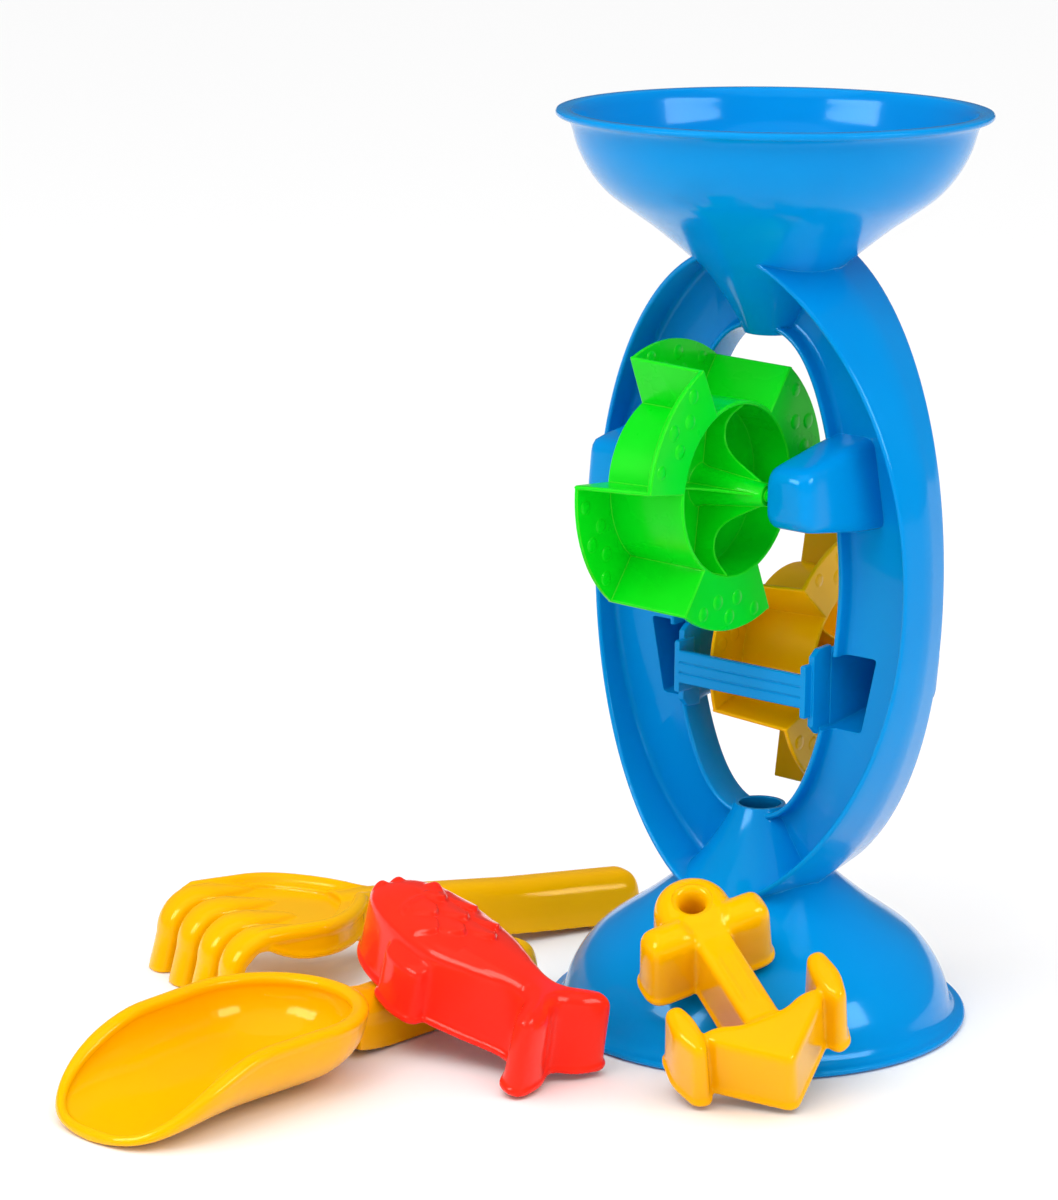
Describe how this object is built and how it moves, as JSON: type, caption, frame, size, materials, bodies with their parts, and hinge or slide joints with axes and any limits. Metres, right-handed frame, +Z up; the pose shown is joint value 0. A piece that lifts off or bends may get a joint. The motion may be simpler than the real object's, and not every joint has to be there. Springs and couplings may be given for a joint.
{
  "type": "sand and water mill set",
  "caption": "Toy sand and water mill: bowls joined by an oval ring that carries turning paddle wheels, with a rake, shovel and fish and anchor moulds lying at its foot.",
  "frame": {"origin": "On the ground at the middle of the whole set's bounding box.", "axes": "X runs along the wheel axles, Y runs from the tools at the front to the back of the mill, Z points up."},
  "size_m": [0.3144, 0.3732, 0.36],
  "materials": {
    "blue_plastic": "glossy injection-moulded polypropylene",
    "green_plastic": "glossy injection-moulded polypropylene",
    "yellow_plastic": "glossy injection-moulded polypropylene",
    "red_plastic": "glossy injection-moulded polypropylene"
  },
  "bodies": {
    "frame": {"upper_bowl": "blue_plastic", "lower_bowl": "blue_plastic", "ring_upper_left": "blue_plastic", "bearing_upper_left": "blue_plastic", "ring_upper_right": "blue_plastic", "bearing_upper_right": "blue_plastic", "ring_lower_left": "blue_plastic", "bearing_lower_left": "blue_plastic", "ring_lower_right": "blue_plastic", "bearing_lower_right": "blue_plastic", "bridge_upper": "blue_plastic", "bridge_lower": "blue_plastic"},
    "green_wheel": {"green_wheel_drum": "green_plastic", "green_wheel_hub_right": "green_plastic", "green_wheel_hub_left": "green_plastic", "green_wheel_vane_1": "green_plastic", "green_wheel_vane_2": "green_plastic", "green_wheel_vane_3": "green_plastic", "green_wheel_vane_4": "green_plastic", "green_wheel_vane_5": "green_plastic", "green_wheel_vane_6": "green_plastic"},
    "yellow_wheel": {"yellow_wheel_drum": "yellow_plastic", "yellow_wheel_hub_right": "yellow_plastic", "yellow_wheel_hub_left": "yellow_plastic", "yellow_wheel_vane_1": "yellow_plastic", "yellow_wheel_vane_2": "yellow_plastic", "yellow_wheel_vane_3": "yellow_plastic", "yellow_wheel_vane_4": "yellow_plastic", "yellow_wheel_vane_5": "yellow_plastic", "yellow_wheel_vane_6": "yellow_plastic"},
    "rake": {"rake_grip": "yellow_plastic", "rake_tray": "yellow_plastic", "rake_tine_1": "yellow_plastic", "rake_tine_2": "yellow_plastic", "rake_tine_3": "yellow_plastic", "rake_tine_4": "yellow_plastic"},
    "shovel": {"shovel_grip": "yellow_plastic", "shovel_scoop": "yellow_plastic"},
    "fish": {"fish_mould": "red_plastic"},
    "anchor": {"anchor_mould": "yellow_plastic"}
  },
  "joints": [
    {"name": "green_wheel_spin", "type": "hinge", "parent": "frame", "child": "green_wheel", "pos_m": [0.06586, 0.04785, 0.221], "axis": [1, 0, 0], "continuous": true},
    {"name": "yellow_wheel_spin", "type": "hinge", "parent": "frame", "child": "yellow_wheel", "pos_m": [0.06586, 0.13285, 0.139], "axis": [1, 0, 0], "continuous": true},
    {"name": "rake_lift", "type": "slide", "parent": "frame", "child": "rake", "axis": [0, 0, 1], "range_m": [0, 0.4]},
    {"name": "shovel_lift", "type": "slide", "parent": "frame", "child": "shovel", "axis": [0, 0, 1], "range_m": [0, 0.4]},
    {"name": "fish_lift", "type": "slide", "parent": "shovel", "child": "fish", "axis": [0, 0, 1], "range_m": [0, 0.4]},
    {"name": "anchor_pull", "type": "slide", "parent": "frame", "child": "anchor", "axis": [0.64, -0.7684, 0], "range_m": [0, 0.2]}
  ]
}
